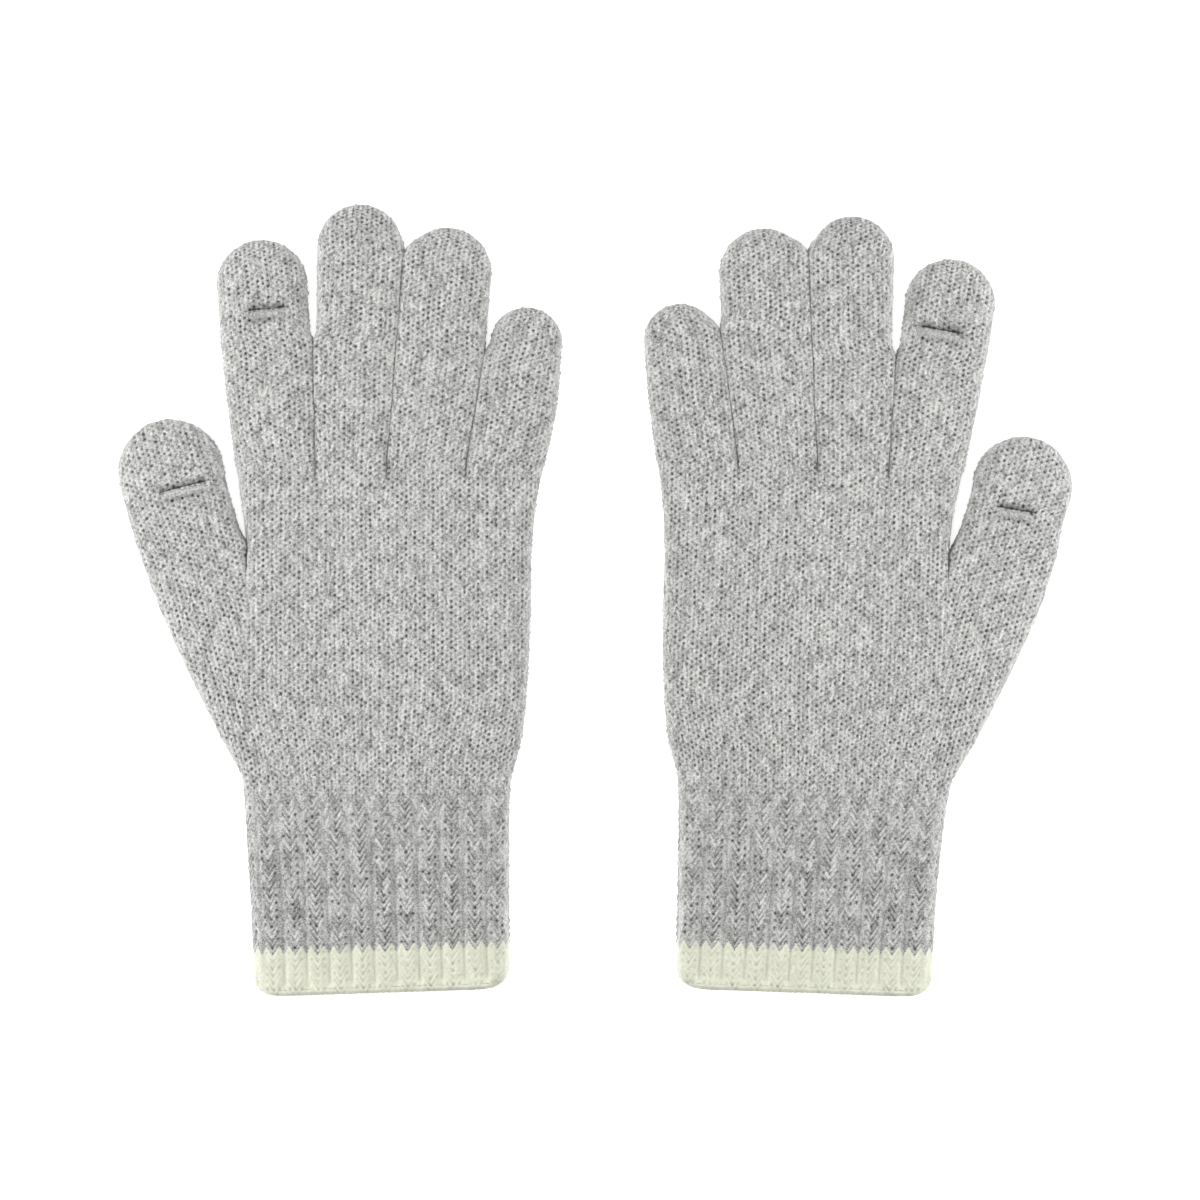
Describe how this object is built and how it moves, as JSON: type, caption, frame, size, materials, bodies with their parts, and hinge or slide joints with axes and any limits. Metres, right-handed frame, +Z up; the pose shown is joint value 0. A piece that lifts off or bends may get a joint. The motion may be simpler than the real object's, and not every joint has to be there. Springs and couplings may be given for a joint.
{
  "type": "knitted touchscreen gloves",
  "caption": "Pair of knitted gloves lying palm up, with ribbed cuffs, pale tipping, and slits on the thumb and index finger for bare fingertips.",
  "frame": {"origin": "centre of the pair's footprint, on the surface the gloves lie on", "axes": "+X from the left glove to the right glove, +Y towards the fingertips, +Z up out of the palms"},
  "size_m": [0.2762, 0.2286, 0.0101],
  "materials": {
    "grey_yarn": "heather grey jersey knit, slightly fuzzy",
    "cream_yarn": "cream rib knit, slightly fuzzy",
    "elastic_yarn": "covered elastic thread"
  },
  "bodies": {
    "left_hand": {"left_hand": "grey_yarn", "left_cuff_rib": "grey_yarn", "left_cuff_elastic": "elastic_yarn", "left_cuff_tipping": "cream_yarn", "left_cuff_edge": "cream_yarn"},
    "left_thumb": {"left_thumb": "grey_yarn", "left_thumb_slit_lip": "grey_yarn"},
    "left_thumb_hood": {"left_thumb_hood": "grey_yarn"},
    "left_index_finger": {"left_index_finger": "grey_yarn", "left_index_slit_lip": "grey_yarn"},
    "left_index_hood": {"left_index_hood": "grey_yarn"},
    "left_middle_finger": {"left_middle_finger": "grey_yarn"},
    "left_ring_finger": {"left_ring_finger": "grey_yarn"},
    "left_little_finger": {"left_little_finger": "grey_yarn"},
    "right_hand": {"right_hand": "grey_yarn", "right_cuff_rib": "grey_yarn", "right_cuff_elastic": "elastic_yarn", "right_cuff_tipping": "cream_yarn", "right_cuff_edge": "cream_yarn"},
    "right_thumb": {"right_thumb": "grey_yarn", "right_thumb_slit_lip": "grey_yarn"},
    "right_thumb_hood": {"right_thumb_hood": "grey_yarn"},
    "right_index_finger": {"right_index_finger": "grey_yarn", "right_index_slit_lip": "grey_yarn"},
    "right_index_hood": {"right_index_hood": "grey_yarn"},
    "right_middle_finger": {"right_middle_finger": "grey_yarn"},
    "right_ring_finger": {"right_ring_finger": "grey_yarn"},
    "right_little_finger": {"right_little_finger": "grey_yarn"}
  },
  "joints": [
    {"name": "left_thumb_bend", "type": "hinge", "parent": "left_hand", "child": "left_thumb", "pos_m": [-0.11714, 0.01498, 0.009], "axis": [1, 0, 0], "range_deg": [0, 70]},
    {"name": "left_thumb_hood_fold", "type": "hinge", "parent": "left_thumb", "child": "left_thumb_hood", "pos_m": [-0.12284, 0.03318, 0], "axis": [-1, 0, 0], "range_deg": [0, 120]},
    {"name": "left_index_bend", "type": "hinge", "parent": "left_hand", "child": "left_index_finger", "pos_m": [-0.09249, 0.03988, 0.009], "axis": [1, 0, 0], "range_deg": [0, 90]},
    {"name": "left_index_hood_fold", "type": "hinge", "parent": "left_index_finger", "child": "left_index_hood", "pos_m": [-0.09614, 0.08308, 0], "axis": [-1, 0, 0], "range_deg": [0, 120]},
    {"name": "left_middle_bend", "type": "hinge", "parent": "left_hand", "child": "left_middle_finger", "pos_m": [-0.07044, 0.03988, 0.009], "axis": [1, 0, 0], "range_deg": [0, 90]},
    {"name": "left_ring_bend", "type": "hinge", "parent": "left_hand", "child": "left_ring_finger", "pos_m": [-0.04869, 0.03988, 0.009], "axis": [1, 0, 0], "range_deg": [0, 90]},
    {"name": "left_little_bend", "type": "hinge", "parent": "left_hand", "child": "left_little_finger", "pos_m": [-0.02594, 0.03988, 0.009], "axis": [1, 0, 0], "range_deg": [0, 90]},
    {"name": "right_thumb_bend", "type": "hinge", "parent": "right_hand", "child": "right_thumb", "pos_m": [0.11945, 0.01295, 0.009], "axis": [0.9994, -0.0349, 0], "range_deg": [0, 70]},
    {"name": "right_thumb_hood_fold", "type": "hinge", "parent": "right_thumb", "child": "right_thumb_hood", "pos_m": [0.12343, 0.02683, 0], "axis": [-0.9994, 0.0349, 0], "range_deg": [0, 120]},
    {"name": "right_index_bend", "type": "hinge", "parent": "right_hand", "child": "right_index_finger", "pos_m": [0.09628, 0.03868, 0.009], "axis": [0.9994, -0.0349, 0], "range_deg": [0, 90]},
    {"name": "right_index_hood_fold", "type": "hinge", "parent": "right_index_finger", "child": "right_index_hood", "pos_m": [0.10242, 0.07849, 0], "axis": [-0.9994, 0.0349, 0], "range_deg": [0, 120]},
    {"name": "right_middle_bend", "type": "hinge", "parent": "right_hand", "child": "right_middle_finger", "pos_m": [0.07424, 0.03945, 0.009], "axis": [0.9994, -0.0349, 0], "range_deg": [0, 90]},
    {"name": "right_ring_bend", "type": "hinge", "parent": "right_hand", "child": "right_ring_finger", "pos_m": [0.05251, 0.04021, 0.009], "axis": [0.9994, -0.0349, 0], "range_deg": [0, 90]},
    {"name": "right_little_bend", "type": "hinge", "parent": "right_hand", "child": "right_little_finger", "pos_m": [0.02977, 0.041, 0.009], "axis": [0.9994, -0.0349, 0], "range_deg": [0, 90]},
    {"name": "right_glove_lift", "type": "slide", "parent": "left_hand", "child": "right_hand", "axis": [0, 0, 1], "range_m": [0, 0.15]}
  ]
}
